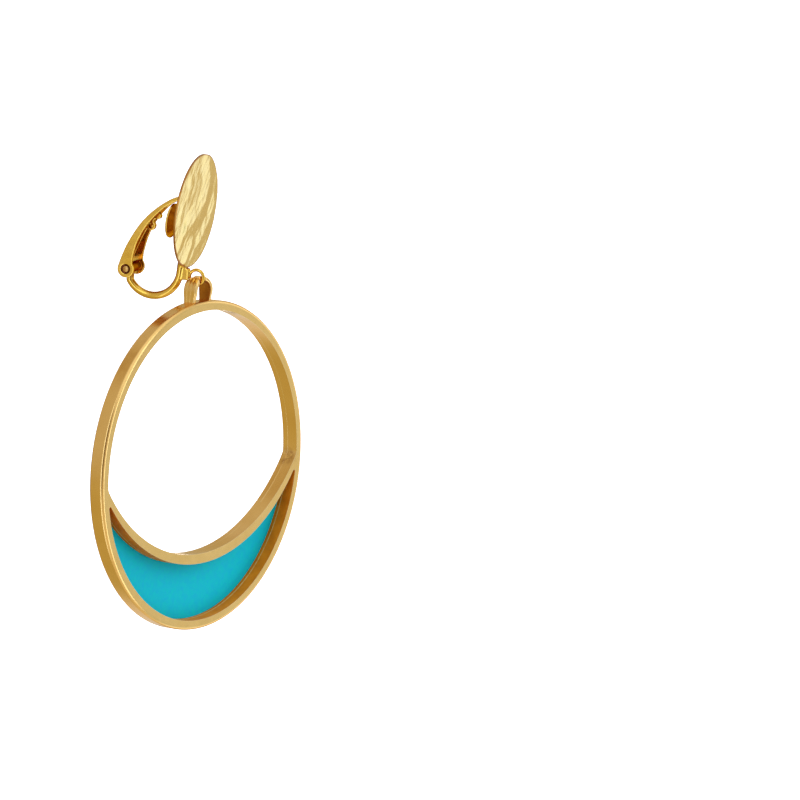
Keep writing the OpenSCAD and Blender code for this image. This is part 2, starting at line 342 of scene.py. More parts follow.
worn_and_highlit, given, result = effect("worn_and_highlit_edges", [("Sharpness", "NodeSocketFloat", 0.97)], "Mask")
soft = worn_and_highlit.nodes.new("ShaderNodeBevel")
soft.samples = 4
soft.inputs["Radius"].default_value = 0.12 * MM
facing = worn_and_highlit.nodes.new("ShaderNodeNewGeometry")
compare = worn_and_highlit.nodes.new("ShaderNodeVectorMath")
compare.operation = "DOT_PRODUCT"
spread = worn_and_highlit.nodes.new("ShaderNodeMapRange")
spread.inputs["From Min"].default_value = 1.0
worn_and_highlit.links.new(soft.outputs["Normal"], compare.inputs[0])
worn_and_highlit.links.new(facing.outputs["Normal"], compare.inputs[1])
worn_and_highlit.links.new(compare.outputs["Value"], spread.inputs["Value"])
worn_and_highlit.links.new(given.outputs["Sharpness"], spread.inputs["From Max"])
worn_and_highlit.links.new(spread.outputs["Result"], result.inputs["Mask"])
print("shared effects:", [group.name for group in bpy.data.node_groups])

# %% Short ways to mix a finish


class Finish:
    """One material, with short ways to lay the shared effects over each other."""

    def __init__(self, name, metallic, place=None):
        self.material = bpy.data.materials.new(name)
        self.material.use_nodes = True
        self.tree = self.material.node_tree
        self.shader = self.tree.nodes["Principled BSDF"]
        self.shader.inputs["Metallic"].default_value = metallic
        self.vector = self.tree.nodes.new("ShaderNodeTexCoord").outputs["Object"]
        if place is not None:
            mapping = self.tree.nodes.new("ShaderNodeMapping")
            mapping.vector_type = "TEXTURE"
            mapping.inputs["Location"].default_value = place.translation
            mapping.inputs["Rotation"].default_value = place.to_euler()
            self.tree.links.new(self.vector, mapping.inputs["Vector"])
            self.vector = mapping.outputs["Vector"]

    def join(self, given, socket):
        """Feed a socket from an output, or set its own value."""
        if isinstance(given, bpy.types.NodeSocket):
            self.tree.links.new(given, socket)
        else:
            socket.default_value = given

    def use(self, group, **values):
        """A shared effect with its own values."""
        node = self.tree.nodes.new("ShaderNodeGroup")
        node.node_tree = group
        for label, value in values.items():
            node.inputs[label.capitalize()].default_value = value
        if "Vector" in node.inputs:
            self.tree.links.new(self.vector, node.inputs["Vector"])
        return node.outputs[0]

    def fade(self, value, start, end):
        """A soft step from 0 at the start to 1 at the end."""
        node = self.tree.nodes.new("ShaderNodeMapRange")
        node.interpolation_type = "SMOOTHSTEP"
        node.inputs["From Min"].default_value = start
        node.inputs["From Max"].default_value = end
        self.tree.links.new(value, node.inputs["Value"])
        return node.outputs["Result"]

    def near(self, point, inner, outer):
        """A mask that is 1 close to a point and fades to 0 further out."""
        node = self.tree.nodes.new("ShaderNodeVectorMath")
        node.operation = "DISTANCE"
        node.inputs[1].default_value = point
        self.tree.links.new(self.vector, node.inputs[0])
        return self.fade(node.outputs["Value"], outer, inner)

    def level(self, axis, height, inner, outer):
        """A mask that is 1 close to a flat level across an axis and fades to 0 further out."""
        apart = self.tree.nodes.new("ShaderNodeSeparateXYZ")
        self.tree.links.new(self.vector, apart.inputs[0])
        away = self.tree.nodes.new("ShaderNodeMath")
        away.operation = "SUBTRACT"
        away.inputs[1].default_value = height
        self.tree.links.new(apart.outputs[axis], away.inputs[0])
        size = self.tree.nodes.new("ShaderNodeMath")
        size.operation = "ABSOLUTE"
        self.tree.links.new(away.outputs[0], size.inputs[0])
        return self.fade(size.outputs[0], outer, inner)

    def times(self, first, second):
        """Two masks or numbers multiplied."""
        node = self.tree.nodes.new("ShaderNodeMath")
        node.operation = "MULTIPLY"
        self.join(first, node.inputs[0])
        self.join(second, node.inputs[1])
        return node.outputs[0]

    def blend(self, below, above, mask):
        """One colour laid over another where the mask is 1."""
        node = self.tree.nodes.new("ShaderNodeMix")
        node.data_type = "RGBA"
        self.tree.links.new(mask, node.inputs["Factor"])
        colours = [socket for socket in node.inputs if socket.type == "RGBA"]
        self.join(below if isinstance(below, bpy.types.NodeSocket) else (*below, 1), colours[0])
        self.join(above if isinstance(above, bpy.types.NodeSocket) else (*above, 1), colours[1])
        return [socket for socket in node.outputs if socket.type == "RGBA"][0]

    def colour(self, output):
        """Plug the colour into the shader."""
        self.tree.links.new(output, self.shader.inputs["Base Color"])

    def roughness(self, mask, low, high):
        """Let the roughness go from low to high with the mask."""
        node = self.tree.nodes.new("ShaderNodeMapRange")
        node.inputs["To Min"].default_value = low
        node.inputs["To Max"].default_value = high
        self.tree.links.new(mask, node.inputs["Value"])
        self.tree.links.new(node.outputs["Result"], self.shader.inputs["Roughness"])

    def relief(self, height, depth):
        """Fine relief of that depth."""
        node = self.tree.nodes.new("ShaderNodeBump")
        node.inputs["Distance"].default_value = depth
        self.tree.links.new(height, node.inputs["Height"])
        self.tree.links.new(node.outputs["Normal"], self.shader.inputs["Normal"])


# %% [markdown]
# ### Polished gold
#
# The clip's wire, pad and lever come polished from the finding maker. The plating is a rich yellow,
# a little redder where it is thin. Roughness stays low but drifts, as finger marks make it do.
# Painted shade darkens the two countersinks round the pin's heads, the small tab's hole, and the gap
# between the lever's ears, round the barrel.

# %% Mix the polished gold
EAR_FACE = 2.45 * MM
TAB_HOLE = (0, 3.37 * MM, -1.02 * MM)
polish = Finish("polished_gold", 1)
redder = polish.use(clouds, scale=420, low=0.3, high=0.7)
gold = polish.blend((0.86, 0.51, 0.085), (0.8, 0.44, 0.045), redder)
# Paler edges, partly wear and partly a painted highlight.
gold = polish.blend(gold, (0.96, 0.7, 0.16), polish.times(polish.use(worn_and_highlit), 0.5))
# Painted shade: dark in the two countersinks, in the tab's hole and between the lever's ears.
for side in (-1, 1):
    countersink_shade = polish.near(hinge + Vector((side * EAR_FACE, 0, 0)), 0.76 * MM, 0.84 * MM)
    gold = polish.blend(gold, (0.14, 0.03, 0.008), countersink_shade)
gold = polish.blend(gold, (0.1, 0.03, 0.01), polish.near(TAB_HOLE, 0.42 * MM, 0.6 * MM))
gold = polish.blend(gold, (0.5, 0.22, 0.03), polish.near(hinge, 1.3 * MM, 2.0 * MM))
polish.colour(gold)
polish.roughness(polish.use(clouds, scale=900, low=0.3, high=0.7), 0.12, 0.24)
polish.relief(polish.use(scratches, squeeze=(1, 0.15, 0.15), scale=5000), 0.001 * MM)
polish.shader.inputs["Specular Tint"].default_value = (0.35, 0.14, 0.03, 1)

# %% [markdown]
# ### Satin gold
#
# The hoop is cast and tumbled: paler than the clip, with a soft sheen and faint lines that run along the
# rim. A brown patch on the left shoulder is a painted reflection, and a dark brown in the right corner
# of the hole is painted shade.
# Two places get a darker, browner gold as painted shade: the inside of the bail and the back of the
# disc.

# %% Mix the satin gold and the two finishes of painted shade
satin = Finish("satin_gold", 1, hoop_place)
uneven = satin.use(clouds, scale=260, low=0.3, high=0.7)
gold = satin.blend((0.9, 0.545, 0.155), (0.85, 0.5, 0.13), uneven)
blots = satin.use(clouds, scale=700, low=0.42, high=0.6)
# A painted reflection: a brown patch on the left shoulder. Painted shade: dark brown in the hole's right
# corner.
shoulder_reflection = satin.near((-17.5 * MM, 0.4 * MM, 20 * MM), 1.5 * MM, 8 * MM)
corner_shade = satin.near((24.6 * MM, 0.2 * MM, -1.6 * MM), 0.3 * MM, 2.2 * MM)
gold = satin.blend(gold, (0.6, 0.3, 0.08), satin.times(shoulder_reflection, satin.times(blots, 0.2)))
gold = satin.blend(gold, (0.4, 0.17, 0.03), satin.times(corner_shade, satin.times(blots, 0.9)))
# Paler edges, partly wear and partly a painted highlight.
gold = satin.blend(gold, (0.98, 0.76, 0.4), satin.times(satin.use(worn_and_highlit), 0.6))
satin.colour(gold)
satin.roughness(satin.use(clouds, scale=1100, low=0.3, high=0.7), 0.16, 0.25)
satin.relief(satin.use(scratches, squeeze=(0.25, 1, 0.25), scale=2500), 0.0008 * MM)

# Painted shade: a darker, browner gold for the inside of the bail.
inside_shade = Finish("bail_inside_shade", 1, hang_place)
inside_shade.colour(inside_shade.blend((0.52, 0.2, 0.025), (0.4, 0.14, 0.015), inside_shade.use(clouds, scale=700)))
inside_shade.roughness(inside_shade.use(clouds, scale=1100), 0.3, 0.45)

# Painted shade: a darker, browner gold for the back of the disc.
back_shade = Finish("disc_back_shade", 1, lean_place)
back_shade.colour(back_shade.blend((0.66, 0.34, 0.06), (0.52, 0.24, 0.035), back_shade.use(clouds, scale=500)))
back_shade.roughness(back_shade.use(clouds, scale=1100), 0.3, 0.45)

# %% [markdown]
# ### The crescent's brown wall
#
# The wall round the turquoise is left as it came from the mould and has gone brown, so it does not
# mirror the enamel beside it. It is closer to a stained lacquer than to bare metal. Along it runs
# the mould's parting line, with a dotted painted highlight laid along it.

# %% Mix the brown wall
PARTING = 0.45 * MM
wall = Finish("recess_brown", 0, hoop_place)
stain = wall.use(clouds, scale=500, low=0.3, high=0.7)
brown = wall.blend((0.72, 0.23, 0.01), (0.56, 0.16, 0.006), stain)
# Painted highlight: bright dots along the mould's parting line.
dots = wall.use(clouds, scale=2500, low=0.3, high=0.55)
parting_highlight = wall.times(wall.level("Y", PARTING, 0.05 * MM, 0.11 * MM), dots)
brown = wall.blend(brown, (0.85, 0.55, 0.22), wall.times(parting_highlight, 0.8))
# Paler edges, partly wear and partly a painted highlight.
wall.colour(wall.blend(brown, (0.8, 0.5, 0.18), wall.times(wall.use(worn_and_highlit), 0.7)))
wall.roughness(wall.use(clouds, scale=900), 0.4, 0.55)
wall.shader.inputs["Specular IOR Level"].default_value = 0.05

# %% [markdown]
# ### Hammered gold
#
# The disc's ridges are real shape, made further down. The finish adds the fine brushing between the
# hammer marks, clouds in the tone of the face, and a brown rim on its cut edge.

# %% Mix the hammered gold
DISC_UP = 10.25 * MM
hammered = Finish("hammered_gold", 1, lean_place)
tone = hammered.use(clouds, scale=500, low=0.3, high=0.7)
gold = hammered.blend((0.89, 0.68, 0.25), (0.84, 0.6, 0.18), tone)
face_only = hammered.near((0, -1.25 * MM, DISC_UP), 9.0 * MM, 9.08 * MM)
hammered.colour(hammered.blend((0.45, 0.19, 0.03), gold, face_only))
hammered.roughness(hammered.use(clouds, scale=1500, low=0.3, high=0.7), 0.16, 0.26)
hammered.relief(hammered.use(scratches, squeeze=(1, 1, 0.5), scale=2400), 0.014 * MM)

# %% [markdown]
# ### Turquoise enamel and the pin's metal
#
# The crescent is filled with opaque enamel: matt, nearly even, with faint clouds of bluer and greener
# pigment. The pin is a plain rivet that has gone brown.

# %% Mix the turquoise and the pin's metal
enamel = Finish("turquoise", 0, hoop_place)
pigment = enamel.use(clouds, scale=1500, low=0.3, high=0.7)
enamel.colour(enamel.blend((0.003, 0.52, 0.49), (0.004, 0.45, 0.54), pigment))
enamel.roughness(enamel.use(clouds, scale=2500), 0.42, 0.58)
enamel.relief(enamel.use(clouds, scale=3000), 0.004 * MM)
enamel.shader.inputs["Specular IOR Level"].default_value = 0.06

rivet = Finish("pin_metal", 1)
rivet.colour(rivet.blend((0.75, 0.46, 0.13), (0.52, 0.24, 0.05), rivet.use(clouds, scale=1800)))
rivet.roughness(rivet.use(clouds, scale=4000), 0.3, 0.45)

# %% [markdown]
# ## Ways of working
#
# Every operator acts on all that is selected, so each step first says what it means to work on.
# A few short helpers do what is done again and again by hand: pick points, edges or faces by their
# place, add and apply a modifier, cut one piece with another, and put a finished piece in its place.

# %% Helpers for modelling


def alone(piece):
    """Leave only this piece selected and active."""
    bpy.ops.object.select_all(action="DESELECT")
    piece.select_set(True)
    bpy.context.view_layer.objects.active = piece


def edit(piece):
    """Go into edit mode on this piece alone."""
    alone(piece)
    bpy.ops.object.mode_set(mode="EDIT")


def done():
    """Back to object mode."""
    bpy.ops.object.mode_set(mode="OBJECT")


def choose(kind, test):
    """In edit mode, select the vertices, edges or faces that pass a test on their place."""
    mesh = bpy.context.active_object.data
    bpy.ops.mesh.select_mode(type=kind)
    bpy.ops.mesh.select_all(action="DESELECT")
    bpy.ops.object.mode_set(mode="OBJECT")
    chosen = 0
    if kind == "VERT":
        for vertex in mesh.vertices:
            vertex.select = test(vertex.co)
            chosen += vertex.select
    elif kind == "EDGE":
        for edge in mesh.edges:
            start, end = (mesh.vertices[i].co for i in edge.vertices)
            edge.select = test(start, end)
            chosen += edge.select
    else:
        for face in mesh.polygons:
            face.select = test(face.center, face.normal)
            chosen += face.select
    bpy.ops.object.mode_set(mode="EDIT")
    return chosen


def apply_modifier(piece, kind, **settings):
    """Add a modifier with those settings and apply it."""
    alone(piece)
    bpy.ops.object.modifier_add(type=kind)
    modifier = piece.modifiers[-1]
    for label, value in settings.items():
        setattr(modifier, label, value)
    bpy.ops.object.modifier_apply(modifier=modifier.name)


def weld(closeness=0.002 * MM):
    """In edit mode, join all points that lie closer together than that."""
    bpy.ops.mesh.select_all(action="SELECT")
    bpy.ops.mesh.remove_doubles(threshold=closeness)


def soften(piece, width, segments, angle):
    """Bevel each edge that is sharper than an angle in degrees."""
    apply_modifier(
        piece, "BEVEL", width=width, segments=segments, limit_method="ANGLE",
        angle_limit=math.radians(angle))


def cut(piece, tool, operation="DIFFERENCE"):
    """Cut a piece with a tool, which is used up; the cut takes the tool's finish."""
    apply_modifier(
        piece, "BOOLEAN", operation=operation, object=tool, solver="EXACT", material_mode="TRANSFER")
    bpy.data.objects.remove(tool)


def settle(piece, place):
    """Move a piece from its working frame to its place, and keep the place in its mesh."""
    alone(piece)
    bpy.ops.object.transform_apply(location=True, rotation=True, scale=True)
    piece.matrix_world = place
    bpy.ops.object.transform_apply(location=True, rotation=True, scale=True)


def deliver(piece, body, node):
    """Give a finished piece its body, hide the part it stands for, and measure it."""
    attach(piece, body)
    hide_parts(node)
    edit(piece)
    bpy.ops.mesh.select_mode(type="VERT")
    bpy.ops.mesh.select_all(action="DESELECT")
    bpy.ops.mesh.select_non_manifold()
    done()
    loose = sum(vertex.select for vertex in piece.data.vertices)
    piece.data.calc_loop_triangles()
    triangles = len(piece.data.loop_triangles)
    print(piece.name, "has", triangles, "triangles and", loose, "points on open edges")


# %% [markdown]
# ## The hammered disc
#
# The disc is cut from sheet, hammered on its face and bonded to the clip. Long ridges cross it from
# lower left to upper right. It starts as a circle filled with a fine grid, is given its thickness,
# and is domed with one proportional pull. Each ridge is then a line of points pulled up with a
# straight falloff, which gives it flat flanks and a crest, as the edge of a hammer leaves them.
# The small marks between are clouds stretched along the hammering: shallow ones all over the face,
# and finer ones in four patches. The ridges could be sculpted too, but pulled points can be measured.

# %% Cut the blank and dome it
DISC_RADIUS = 9.2 * MM
DISC_EDGE = 0.3 * MM
DISC_DOME = 0.3 * MM
DISC_BACK = 1.095 * MM
FACE_FROM = DISC_EDGE * 0.9

bpy.ops.object.select_all(action="DESELECT")
bpy.ops.mesh.primitive_circle_add(vertices=560, radius=DISC_RADIUS, fill_type="NOTHING")
disc = bpy.context.active_object
disc.name = "hammered_disc"
disc.data.materials.append(hammered.material)
edit(disc)
bpy.ops.mesh.select_all(action="SELECT")
bpy.ops.mesh.fill_grid(span=140)
bpy.ops.mesh.select_all(action="SELECT")
bpy.ops.mesh.extrude_region_move(TRANSFORM_OT_translate={"value": (0, 0, DISC_EDGE)})
bpy.ops.mesh.select_all(action="SELECT")
bpy.ops.mesh.normals_make_consistent(inside=False)
# The back gets the darker, browner gold of painted shade.
disc.data.materials.append(back_shade.material)
disc.active_material_index = 1
choose("FACE", lambda middle, normal: normal.z < -0.5)
bpy.ops.object.material_slot_assign()
choose("FACE", lambda middle, normal: middle.z < FACE_FROM)
bpy.ops.mesh.hide()
choose("VERT", lambda point: point.xy.length < 0.1 * MM and point.z > FACE_FROM)
bpy.ops.transform.translate(
    value=(0, 0, DISC_DOME), use_proportional_edit=True,
    proportional_edit_falloff="INVERSE_SQUARE", proportional_size=DISC_RADIUS)
done()
print("the domed blank has", len(disc.data.vertices), "points and is",
      round(disc.dimensions.z / MM, 3), "mm thick")

# %% Hammer the ridges
# For each ridge: its reach to each side, its height, and the points its crest runs through, in mm
# across and up from the disc's middle.
RIDGES = [
    (2.7, 0.27, ((-3.2, -1.9), (0.6, -0.4), (2.6, 2.2), (3.6, 5.0), (2.2, 7.6))),
    (1.8, 0.2, ((2.8, -5.0), (4.6, -3.4), (5.9, -2.0), (7.2, 0.6))),
    (1.6, 0.19, ((-2.7, -7.8), (-1.2, -5.3))),
    (1.4, 0.15, ((-6.1, -4.9), (-4.8, -2.6))),
    (1.4, 0.07, ((-5.6, 2.6), (-4.5, 5.4))),
    (1.0, 0.07, ((-7.6, -0.9), (-6.9, 1.4))),
    (1.4, 0.08, ((0.6, -7.2), (2.0, -5.2))),
    (1.2, 0.07, ((6.8, 2.2), (7.4, 4.2))),
]


def crest_distance(point, crest):
    """How far a point lies from a line through the crest's points, seen from the front."""
    nearest = 1.0
    for start, end in zip(crest, crest[1:]):
        start, end = Vector(start) * MM, Vector(end) * MM
        share = (point - start).dot(end - start) / (end - start).length_squared
        nearest = min(nearest, (point - start.lerp(end, min(max(share, 0), 1))).length)
    return nearest


edit(disc)
for reach, height, crest in RIDGES:
    choose("VERT", lambda point: point.z > FACE_FROM and crest_distance(point.xy, crest) < 0.1 * MM)
    bpy.ops.transform.translate(
        value=(0, 0, height * MM), use_proportional_edit=True,
        proportional_edit_falloff="LINEAR", proportional_size=reach * MM)
bpy.ops.mesh.reveal(select=False)
done()
print("after hammering", len(RIDGES), "ridges the disc is", round(disc.dimensions.z / MM, 3), "mm thick")

# %% Add the small marks and break the edge
# For each kind of mark: its length, its width and its depth, and the round patches it lies in, each
# as across, up and radius, in mm.
MARKS = [
    (2.0, 1.0, 0.09, ((0, 0, 18),)),
    (0.9, 0.45, 0.05, ((-5.2, -1.6, 2.8), (0.2, 2.6, 1.3), (-4.6, -5.4, 1.6), (3.4, 5.6, 1.2))),
]
HAMMERING = math.radians(48)


def hammer_marks(length, width, depth, patches):
    """Press clouds stretched along the hammering into the patches, fading at their edges."""
    marks = bpy.data.textures.new("hammer_marks", "CLOUDS")
    marks.noise_scale = 0.9
    marks.noise_depth = 1
    marks_frame = bpy.data.objects.new("marks_frame", None)
    bpy.context.scene.collection.objects.link(marks_frame)
    marks_frame.matrix_world = Matrix.Rotation(HAMMERING, 4, "Z") @ Matrix.Diagonal(
        (length * MM, width * MM, 1 * MM, 1))
    bpy.context.view_layer.update()
    group = disc.vertex_groups.new(name="marks")
    for vertex in disc.data.vertices:
        if vertex.co.z > FACE_FROM:
            weight = max(min(2 - 2 * (vertex.co.xy / MM - Vector((across, rise))).length / radius, 1)
                         for across, rise, radius in patches)
            if weight > 0:
                group.add([vertex.index], weight, "REPLACE")
    apply_modifier(
        disc, "DISPLACE", texture=marks, texture_coords="OBJECT", texture_coords_object=marks_frame,
        direction="Z", strength=depth * MM, mid_level=0.5, vertex_group=group.name)
    bpy.data.objects.remove(marks_frame)


for length, width, depth, patches in MARKS:
    hammer_marks(length, width, depth, patches)
soften(disc, 0.07 * MM, 3, 50)
bpy.ops.object.shade_smooth_by_angle(angle=math.radians(40))
upright_disc = Matrix.Translation((0, -DISC_BACK, DISC_UP)) @ Matrix.Rotation(math.radians(90), 4, "X")
settle(disc, lean_place @ upright_disc)
deliver(disc, "clip", "front_disc")

# %% [markdown]
# ## The hoop
#
# The hoop is one casting: a ring with softly rounded outer edges, an inner arc, and a recess for the
# enamel. It is made as one would saw it from a disc: a round blank whose two outer edges are bevelled
# round, a hole cut with a tool that is the space two round blanks share, and a recess cut with a
# crescent tool. The recess tool wears the brown finish, so the wall it leaves is brown. Its two
# pointed tips are sawn off and rounded with a small peg, because a casting has no knife-sharp hollow.

# %% Round the blank
HOOP_RADIUS = 26.7 * MM
HOOP_FRONT = -1.4 * MM
HOOP_BACK = 1.4 * MM
HOOP_ROUND = 0.6 * MM
HOLE_RADIUS = 25.15 * MM
ARC_RADIUS = 30.4 * MM
ARC_MIDDLE = 16.1 * MM
ARC_WIDTH = 1.6 * MM
PAST = 1 * MM


def round_blank(name, radius, front, back, raised=0.0):
    """A round blank in the hoop's plane, between two depths, its middle raised by a height."""
    bpy.ops.object.select_all(action="DESELECT")
    bpy.ops.mesh.primitive_cylinder_add(
        vertices=256, radius=radius, depth=back - front,
        location=(0, (front + back) / 2, raised), rotation=(math.radians(90), 0, 0))
    blank = bpy.context.active_object
    blank.name = name
    bpy.ops.object.transform_apply(location=True, rotation=True, scale=True)
    return blank


hoop = round_blank("hoop", HOOP_RADIUS, HOOP_FRONT, HOOP_BACK)
hoop.data.materials.append(satin.material)
edit(hoop)
choose("EDGE", lambda start, end: abs(start.y - end.y) < 0.1 * MM)
bpy.ops.mesh.bevel(offset=HOOP_ROUND, segments=8, affect="EDGES")
done()
print("the blank is", round(hoop.dimensions.x / MM, 2), "mm wide")

# %% Cut the hole with its soft corners
CORNER_CUT = 0.52 * MM


def crossing(radius, raised_radius, raised):
    """Where a circle round the hoop's middle crosses one that is raised, on the right."""
    height = (radius ** 2 - raised_radius ** 2 + raised ** 2) / (2 * raised)
    return Vector((math.sqrt(radius ** 2 - height ** 2), 0, height))


corner_height = crossing(HOLE_RADIUS, ARC_RADIUS, ARC_MIDDLE).z

hole = round_blank("hole", HOLE_RADIUS, HOOP_FRONT - PAST, HOOP_BACK + PAST)
hole.data.materials.append(satin.material)
arc = round_blank("arc", ARC_RADIUS, HOOP_FRONT - 2 * PAST, HOOP_BACK + 2 * PAST, ARC_MIDDLE)
cut(hole, arc, "INTERSECT")
edit(hole)
weld()


def at_corner(start, end):
    """The tool's edge where its two round walls meet."""
    return abs(start.y - end.y) > 2 * MM and all(
        abs(point.z - corner_height) < 0.03 * MM and abs(point.x) > 24 * MM for point in (start, end))


print("corner edges:", choose("EDGE", at_corner))
bpy.ops.mesh.bevel(offset=CORNER_CUT, segments=6, affect="EDGES")
done()
cut(hoop, hole)
print("after the hole the hoop has", len(hoop.data.polygons), "faces")

# %% Cut the crescent recess
FLOOR = 0.2 * MM
TIP_RADIUS = 0.3 * MM
LOW_MIDDLE = ARC_MIDDLE - ARC_WIDTH


def round_tip(piece, side, front, back, gap, finish):
    """Saw off one pointed tip of a crescent and put a small round peg there."""
    middle = crossing(HOLE_RADIUS - TIP_RADIUS, ARC_RADIUS + TIP_RADIUS, LOW_MIDDLE)
    outward = (crossing(HOLE_RADIUS, ARC_RADIUS, LOW_MIDDLE) - middle).normalized()
    level = middle + outward * (TIP_RADIUS - gap) * middle.normalized().dot(outward)
    for point in (middle, outward, level):
        point.x *= side
    edit(piece)
    bpy.ops.mesh.select_all(action="SELECT")
    bpy.ops.mesh.bisect(plane_co=level, plane_no=outward, use_fill=True, clear_outer=True)
    done()
    bpy.ops.object.select_all(action="DESELECT")
    bpy.ops.mesh.primitive_cylinder_add(
        vertices=48, radius=TIP_RADIUS - gap, depth=back - front,
        location=(middle.x, (front + back) / 2, middle.z), rotation=(math.radians(90), 0, 0))
    peg = bpy.context.active_object
    peg.data.materials.append(finish.material)
    cut(piece, peg, "UNION")


def crescent(name, front, back, gap, finish):
    """A crescent between the rim and the inner arc, with soft tips, drawn in by a gap."""
    piece = round_blank(name, HOLE_RADIUS - gap, front, back)
    piece.data.materials.append(finish.material)
    arc = round_blank("arc", ARC_RADIUS + gap, front - PAST, back + PAST, LOW_MIDDLE)
    arc.data.materials.append(finish.material)
    cut(piece, arc)
    for side in (1, -1):
        round_tip(piece, side, front, back, gap, finish)
    return piece


cut(hoop, crescent("recess", HOOP_FRONT - PAST, HOOP_BACK - FLOOR, 0, wall))
print("after the recess the hoop has", len(hoop.data.polygons), "faces")

# %% [markdown]
# The two halves of the mould met a third of the way from the back, and left a fine line all round
# inside. It is cut in as three close edge loops, and the middle one is raised. Then every sharp
# edge gets a small bevel, because metal that was tumbled has no knife edges.

# %% Leave the parting line and soften the edges
PARTING_HALF = 0.1 * MM
PARTING_RISE = 0.035 * MM
INSIDE = HOLE_RADIUS + 0.02 * MM


def inner_wall(middle, normal):
    """A wall that looks into the hole or the recess."""
    return math.hypot(middle.x, middle.z) < INSIDE and abs(normal.y) < 0.2


def on_parting(point):
    """On the middle one of the three loops."""
    return abs(point.y - PARTING) < 0.005 * MM


edit(hoop)
weld()
for depth in (PARTING - PARTING_HALF, PARTING, PARTING + PARTING_HALF):
    choose("FACE", inner_wall)
    bpy.ops.mesh.bisect(plane_co=(0, depth, 0), plane_no=(0, 1, 0))
raised = choose("VERT", lambda point: on_parting(point) and math.hypot(point.x, point.z) < INSIDE)
bpy.ops.transform.shrink_fatten(value=PARTING_RISE)
done()
reach = max(math.hypot(v.co.x, v.co.z) for v in hoop.data.vertices if on_parting(v.co))
print(raised, "points on the parting line, the outermost at", round(reach / MM, 3), "mm from the middle")
soften(hoop, 0.09 * MM, 3, 60)
bpy.ops.object.shade_smooth_by_angle(angle=math.radians(38))
apply_modifier(hoop, "WEIGHTED_NORMAL", keep_sharp=True, weight=60)
settle(hoop, hoop_place)
deliver(hoop, "drop", "hoop_drop")

# %% [markdown]
# ## The turquoise crescent
#
# The enamel lies deep in the recess. It is the same crescent as the tool, drawn in by a hair, with
# a tiny rounded edge where the enamel draws back from the wall.

# %% Pour the enamel
ENAMEL = 0.15 * MM
SEAT = 0.02 * MM
DRAWN_IN = 0.03 * MM
enamel_back = HOOP_BACK - FLOOR - SEAT
inlay = crescent("turquoise_inlay", enamel_back - ENAMEL, enamel_back, DRAWN_IN, enamel)
edit(inlay)
weld()
done()
soften(inlay, 0.05 * MM, 2, 60)
bpy.ops.object.shade_smooth_by_angle(angle=math.radians(38))
apply_modifier(inlay, "WEIGHTED_NORMAL", keep_sharp=True)
settle(inlay, hoop_place)
deliver(inlay, "drop", "crescent_inlay")

# %% [markdown]
# ## The bail
#
# The bail is the strap arch that carries the hoop on the clip's loop. Its cross-section is a soft
# rectangle with two shallow grooves on the outside. The section is extruded up one leg, spun over
# the arch and extruded down the other leg. Then the legs are spread a little below the arch, which
# makes them leaf-shaped, and the top is squeezed, because it has to pass through the loop. One inner
# edge is rounded off where it would rub on the clip's neck, and the inside gets a darker gold as painted
# shade.

# %% Draw the strap's section
BAIL_WIDTH = 4.75 * MM
STRAP = 0.7 * MM
FOOT_WIDTH = 2.1 * MM
BAIL_SLIDE = 0.4 * MM
ARCH_TOP = 0.2 * MM
arch_radius = (BAIL_WIDTH - STRAP) / 2
arch_height = ARCH_TOP - BAIL_WIDTH / 2
bail_foot = HOOP_RADIUS - HOOP_DROP - 0.6 * MM

bpy.ops.object.select_all(action="DESELECT")
bpy.ops.mesh.primitive_plane_add(size=1, location=(-arch_radius, 0, bail_foot))
bail = bpy.context.active_object
bail.name = "bail"
bail.data.materials.append(satin.material)
bail.scale = (STRAP, FOOT_WIDTH, 1)
bpy.ops.object.transform_apply(location=True, rotation=True, scale=True)
edit(bail)
bpy.ops.mesh.select_all(action="SELECT")
bpy.ops.mesh.bevel(offset=0.24 * MM, segments=6, affect="VERTICES")
choose("EDGE", lambda start, end: abs(start.x - end.x) < 0.01 * MM and abs(start.y - end.y) > 0.5 * MM)
bpy.ops.mesh.subdivide(number_cuts=15)
choose("VERT", lambda point: point.x < -arch_radius and 0.24 * MM < abs(point.y) < 0.36 * MM)
bpy.ops.transform.translate(
    value=(0.07 * MM, 0, 0), use_proportional_edit=True,
    proportional_edit_falloff="SMOOTH", proportional_size=0.22 * MM)

# %% Sweep it over the arch
LEG_STEPS = 8
leg_step = (arch_height - bail_foot) / LEG_STEPS
bpy.ops.mesh.select_mode(type="FACE")
bpy.ops.mesh.select_all(action="SELECT")
for _ in range(LEG_STEPS):
    bpy.ops.mesh.extrude_region_move(TRANSFORM_OT_translate={"value": (0, 0, leg_step)})
bpy.ops.mesh.spin(steps=40, angle=-math.pi, center=(0, 0, arch_height), axis=(0, 1, 0))
for _ in range(LEG_STEPS):
    bpy.ops.mesh.extrude_region_move(TRANSFORM_OT_translate={"value": (0, 0, -leg_step)})
weld()
bpy.ops.mesh.select_all(action="SELECT")
bpy.ops.mesh.normals_make_consistent(inside=False)

